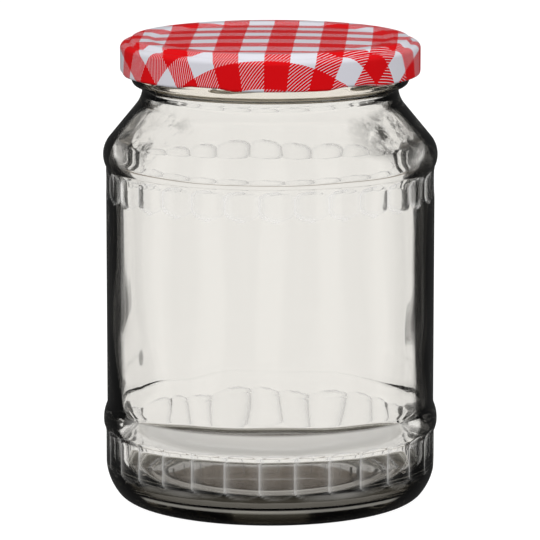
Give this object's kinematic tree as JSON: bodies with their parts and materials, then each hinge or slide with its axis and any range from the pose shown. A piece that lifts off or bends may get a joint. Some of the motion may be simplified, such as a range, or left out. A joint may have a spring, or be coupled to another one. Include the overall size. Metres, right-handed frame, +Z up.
{
  "type": "preserving jar",
  "caption": "Empty round clear-glass preserving jar with a band of facets at shoulder and foot, closed by a twist-off metal lid printed in gingham.",
  "frame": {"origin": "middle of the flat ring that the jar stands on", "axes": "+Z up along the jar's axis, -Y towards the side that faces the camera in the picture"},
  "size_m": [0.0956, 0.0956, 0.1327],
  "materials": {
    "glass": "clear, gloss",
    "lid": "gloss lacquer over a printed gingham"
  },
  "bodies": {
    "root": {"glass_jar": "glass", "lid": "lid"}
  },
  "joints": []
}
